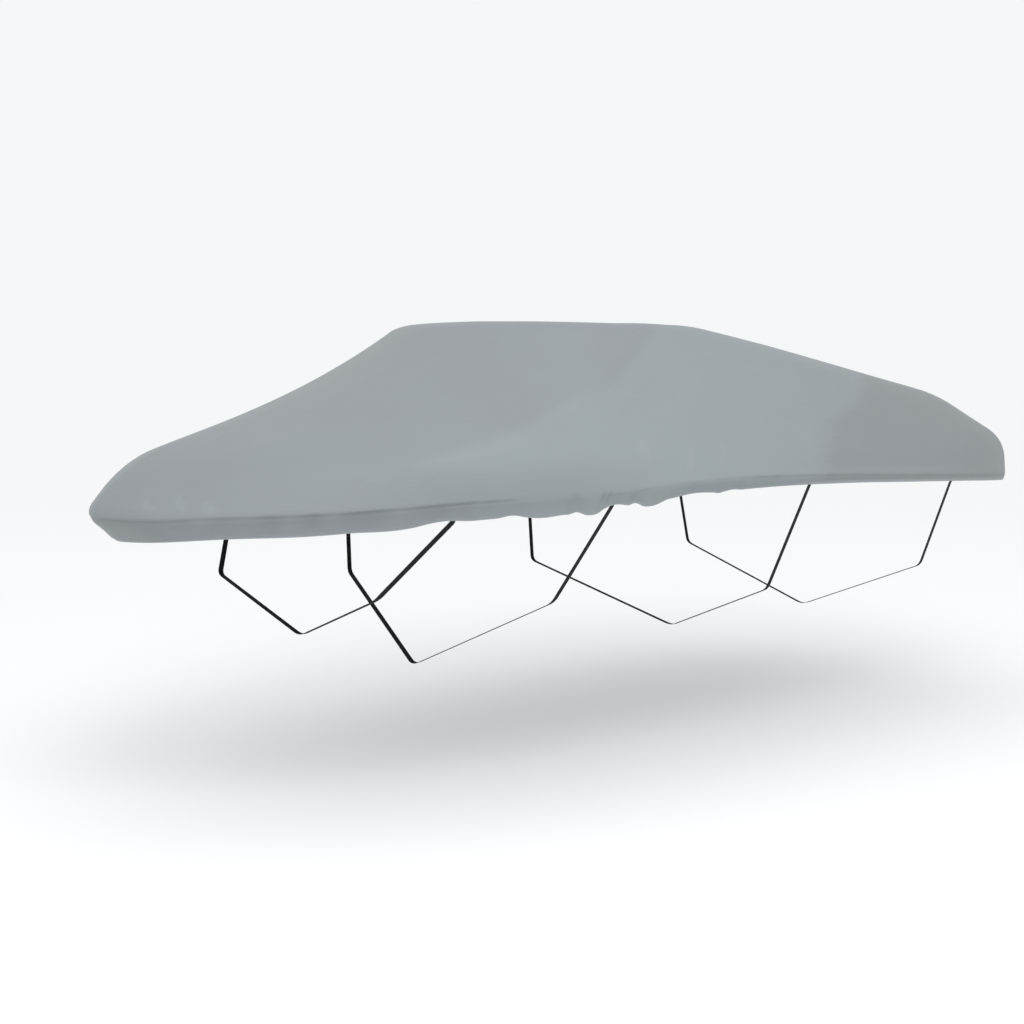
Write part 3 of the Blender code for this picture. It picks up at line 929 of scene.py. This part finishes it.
tone = cloth_mesh.verts.layers.float.new("tone")
for vertex in cloth_mesh.verts:
    x = vertex.co.x + MOUNT_X
    height = vertex.co.z + MOUNT_HEIGHT
    # painted light on the side below the crease, less of it aft
    lit_side = fade(on_line(CREASE_LINE, x) - height, *CREASE_EDGE) * fade(x, *LIT_FROM)
    lit_side *= 1 - LESS_LIT * fade(x, *LESS_LIT_FROM)
    # painted shade at the stern, aft of its wobbling border
    past_edge = x - on_line(STERN_LINE, height) + WOBBLE * noise.noise(vertex.co * WOBBLE_NOISE)
    stern_shade = fade(past_edge, *STERN_EDGE)
    side_tone = lit_side * (1 - stern_shade) - stern_shade
    # painted light on cloth that faces up, aft
    top_tone = TOP_TONE * fade(x, *TOP_FROM)
    top = fade(vertex.normal.z, *TOP_FACING) * fade(x, *TOP_AFT_OF)
    vertex[tone] = side_tone + (top_tone - side_tone) * top
print("tones from", min(v[tone] for v in cloth_mesh.verts), "to", max(v[tone] for v in cloth_mesh.verts))

# %% [markdown]
# ### Thickness
#
# The cloth is a single skin until now. A Solidify modifier gives it its millimetre inwards, so the
# outer face stays where the ribs put it. The turned hem is part of the same skin, and gets its own
# thickness in the same step.

# %% The cover
CLOTH_THICKNESS = 0.001


def finish_piece(name, mesh, finish, thickness=0, offset=0):
    """An object from a finished mesh, shaded smooth, and thickened if it's a skin."""
    data = bpy.data.meshes.new(name)
    mesh.to_mesh(data)
    data.shade_smooth()
    data.materials.append(finish)
    made = bpy.data.objects.new(name, data)
    bpy.context.scene.collection.objects.link(made)
    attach(made, "root")
    if thickness:
        shell = made.modifiers.new("thickness", "SOLIDIFY")
        shell.thickness = thickness
        shell.offset = offset
        shell.use_even_offset = True
    return made


cover = finish_piece("cover", cloth_mesh, cloth, CLOTH_THICKNESS, -1)
cloth_area = sum(face.calc_area() for face in cloth_mesh.faces)
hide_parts("cover_cloth")
print("area of the cloth:", round(cloth_area, 2), "square metres")

# %% [markdown]
# ### Stitches
#
# One row of lockstitch runs all round the cover and holds the turned hem. Each stitch is a short
# grain of thread that dips into the cloth at both ends, so a stretched ball of few faces will do for
# it. The row follows the hem at a fixed height, and every stitch is laid on the finished skin, the
# way a needle finds the cloth wherever it lies.

# %% Stitches
STITCH_HEIGHT = 0.015
STITCH_PITCH = 0.005
STITCH_SIZE = (0.0042, 0.0007, 0.0006)  # length, width and thickness


def seam_point(index, side):
    hem, rail = hem_band(index, side)[:2]
    point = hem + (rail - hem).normalized() * STITCH_HEIGHT
    return place(point.x, -side * point.y, point.z)


seam = [seam_point(index, PORT) for index in range(last + 1)]
seam += [seam_point(index, STARBOARD) for index in reversed(range(last))]
skin = BVHTree.FromBMesh(cloth_mesh)
stitch_mesh = bmesh.new()
stitches = 0
walked = 0.0
for here, following in zip(seam, seam[1:]):
    step = following - here
    while stitches * STITCH_PITCH < walked + step.length:
        spot = here + step.normalized() * (stitches * STITCH_PITCH - walked)
        spot, normal = skin.find_nearest(spot)[:2]
        sideways = normal.cross(step).normalized()
        turn = Matrix((sideways.cross(normal), sideways, normal)).transposed().to_4x4()
        grain = Matrix.Translation(spot) @ turn @ Matrix.Diagonal((*STITCH_SIZE, 1))
        bmesh.ops.create_icosphere(stitch_mesh, subdivisions=1, radius=0.5, matrix=grain)
        stitches += 1
    walked += step.length
hem_stitches = finish_piece("hem_stitches", stitch_mesh, sewing_thread)
stitch_mesh.free()
cloth_mesh.free()
print("stitches:", stitches, "along", round(walked, 2), "m of hem")

# %% [markdown]
# ## Straps
#
# Four straps of webbing hold the cover down. Each is sewn inside the hem, runs down the side of the
# hull to the chine and passes under the keel to the other side. It is pulled tight, so its route is
# straight between short bends, and a few measured corners are enough for it.

# %% Measures of the straps
Strap = namedtuple("Strap", "hem_x chine_x chine_y chine_height keel_x keel_height")
STRAPS = (
    Strap(1.13, 0.93, 0.60, 0.890, 0.97, 0.67),
    Strap(1.92, 1.78, 0.75, 0.815, 1.60, 0.46),
    Strap(3.27, 3.16, 0.85, 0.760, 3.42, 0.45),
    Strap(4.59, 4.54, 0.85, 0.770, 4.62, 0.45),
)
STRAP_WIDTH = 0.025
STRAP_THICKNESS = 0.0018
STRAP_INSIDE = 0.0039  # from the cloth's outer face to the middle of the strap
STRAP_LAP = 0.85  # share of the band's height that it runs up inside
STRAP_BELOW = 0.009  # how far below the hem it turns towards the chine
STRAP_BENDS = (0.008, 0.030, 0.040)  # reach of its bends at the hem, the chine and the keel
print("straps measured:", len(STRAPS))

# %% [markdown]
# ### A strap's route
#
# The top of a strap lies flat against the inside of the hem. Two places on the hem, half a strap's
# width to each side of the middle, give that first stretch its position and its slope. From the hem's
# edge the strap runs to the chine and the keel. The starboard half does the same from that side's own
# hem, because the gathers aren't alike on the two sides.

# %% A strap's route
STRAP_STEPS = 10
STRAP_BEND_STEPS = 8


def band_at(x, side):
    """The hem's edge at x, and the top of the flat band above it."""
    index = next(number for number in range(last) if ribs[number + 1].rail_x > x)
    share = (x - ribs[index].rail_x) / (ribs[index + 1].rail_x - ribs[index].rail_x)
    found = []
    for number in (index, index + 1):
        hem, rail = hem_band(number, side)[:2]
        flat_top = rail + (hem - rail).normalized() * RAIL_BEND * ribs[number].hem_in
        found.append([place(p.x, -side * p.y, p.z) for p in (hem, flat_top)])
    return [fore.lerp(aft, share) for fore, aft in zip(*found)]


def strap_corners(strap, side):
    """Half a strap's corners, from inside the hem to the chine, and its direction across."""
    fore, fore_top = band_at(strap.hem_x - STRAP_WIDTH / 2, side)
    aft, aft_top = band_at(strap.hem_x + STRAP_WIDTH / 2, side)
    edge = (fore + aft) / 2
    along = (aft - fore).normalized()
    up = (fore_top + aft_top) / 2 - edge
    edge += up.cross(along).normalized() * -side * STRAP_INSIDE
    chine = place(strap.chine_x, side * strap.chine_y, strap.chine_height)
    return [edge + up * STRAP_LAP, edge - up.normalized() * STRAP_BELOW, chine], along


def strap_route(strap):
    """Every point of one strap, from the port hem under the keel to the starboard hem."""
    port, port_along = strap_corners(strap, PORT)
    starboard, starboard_along = strap_corners(strap, STARBOARD)
    keel = place(strap.keel_x, 0, strap.keel_height)
    reaches = STRAP_BENDS + STRAP_BENDS[-2::-1]
    run_steps = [STRAP_STEPS] * (len(reaches) + 1)
    bend_steps = [STRAP_BEND_STEPS] * len(reaches)
    corners = port + [keel] + starboard[::-1]
    return rounded(corners, reaches, run_steps, bend_steps), port_along, starboard_along


print("points on a strap's route:", len(strap_route(STRAPS[0])[0]))

# %% [markdown]
# ### Laying the webbing
#
# A strap could be a curve with a flat section, but a curve twists where it likes. A narrow grid, laid
# along the route row by row, keeps its face on the hull and turns gently from one side to the other.
# Solidify gives it its thickness, and a small bevel takes the sharpness off its woven edges.

# %% The straps
STRAP_EDGE = 0.0005


def add_strap(number, strap):
    route, port_along, starboard_along = strap_route(strap)
    steps = len(route) - 1
    lengths = [0.0]
    for here, following in zip(route, route[1:]):
        lengths.append(lengths[-1] + (following - here).length)
    mesh = bmesh.new()
    tape_map = mesh.loops.layers.uv.new("weave")
    bmesh.ops.create_grid(mesh, x_segments=2, y_segments=steps, size=0.5)
    for vertex in mesh.verts:
        row = round((vertex.co.y + 0.5) * steps)
        sideways = vertex.co.x * STRAP_WIDTH
        run = (route[min(row + 1, steps)] - route[max(row - 1, 0)]).normalized()
        aft = port_along.lerp(starboard_along, row / steps)
        vertex.co = route[row] + (aft - run * aft.dot(run)).normalized() * sideways
        for loop in vertex.link_loops:
            loop[tape_map].uv = (lengths[row], sideways)
    made = finish_piece(f"strap_{number}_webbing", mesh, webbing, STRAP_THICKNESS)
    mesh.free()
    edges = made.modifiers.new("edges", "BEVEL")
    edges.width = STRAP_EDGE
    edges.segments = 2
    edges.limit_method = "ANGLE"
    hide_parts(f"strap_{number}")
    return lengths[-1]


strap_lengths = [add_strap(number, strap) for number, strap in enumerate(STRAPS, start=1)]
print("straps:", ", ".join(f"{length:.2f} m" for length in strap_lengths))

# %% [markdown]
# ## Last measures
#
# The cloth must not make the cover bigger than its solids, so the sizes of both boxes are printed.

# %% Sizes
visual_box = [list(corner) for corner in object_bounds()]
for name, box in (("solids", cad_box), ("pieces", visual_box)):
    print(name, [round((high - low) * 1000) for low, high in zip(*box)], "mm")
